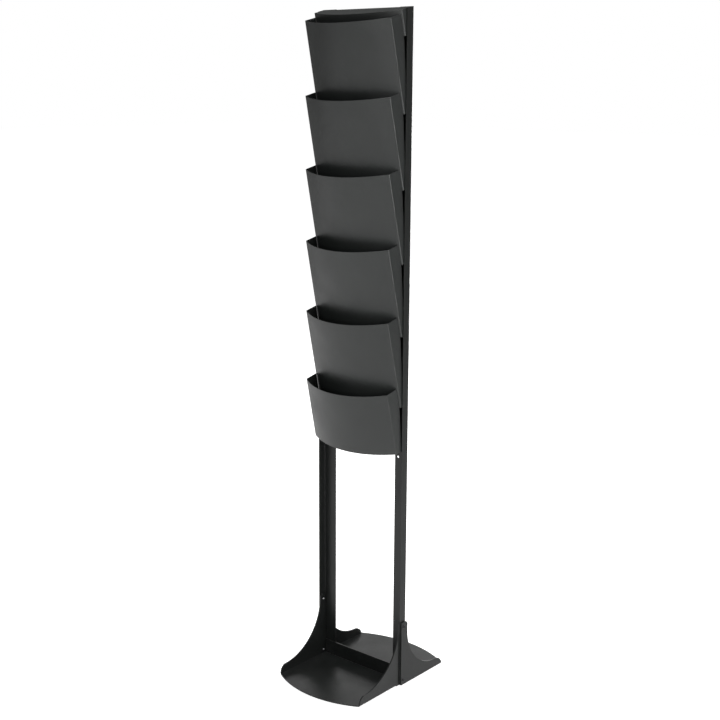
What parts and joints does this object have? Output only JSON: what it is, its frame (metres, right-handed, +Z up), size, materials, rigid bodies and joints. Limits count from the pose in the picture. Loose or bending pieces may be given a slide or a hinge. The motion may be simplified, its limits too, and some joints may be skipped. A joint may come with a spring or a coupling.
{
  "type": "floor-standing brochure rack",
  "caption": "Slim floor-standing rack: leaning curved-front metal pockets stacked between two angle uprights on folded floor trays.",
  "frame": {"origin": "on the floor, midway between the uprights and midway between the front and rear ends of the base", "axes": "+Z up, -Y out of the pockets' fronts, +X to the right of a person who faces the fronts"},
  "size_m": [0.2606, 0.3672, 1.5296],
  "materials": {
    "frame_coat": "fine-textured black powder coat",
    "pocket_coat": "fine-textured black powder coat",
    "black_fastener": "black oxide",
    "zinc_fastener": "bright zinc plate",
    "pad_rubber": "matt"
  },
  "bodies": {
    "root": {"upright_left": "frame_coat", "upright_right": "frame_coat", "front_base_tray": "frame_coat", "rear_base_tray": "frame_coat", "pocket_1_shell": "pocket_coat", "pocket_1_floor": "pocket_coat", "pocket_2_shell": "pocket_coat", "pocket_2_floor": "pocket_coat", "pocket_3_shell": "pocket_coat", "pocket_3_floor": "pocket_coat", "pocket_4_shell": "pocket_coat", "pocket_4_floor": "pocket_coat", "pocket_5_shell": "pocket_coat", "pocket_5_floor": "pocket_coat", "pocket_6_shell": "pocket_coat", "pocket_6_floor": "pocket_coat", "top_panel": "pocket_coat", "top_cap": "pocket_coat", "pocket_screws": "black_fastener", "pocket_nuts": "zinc_fastener", "base_screws": "black_fastener", "front_foot_pads": "pad_rubber", "rear_foot_pads": "pad_rubber"}
  },
  "joints": []
}
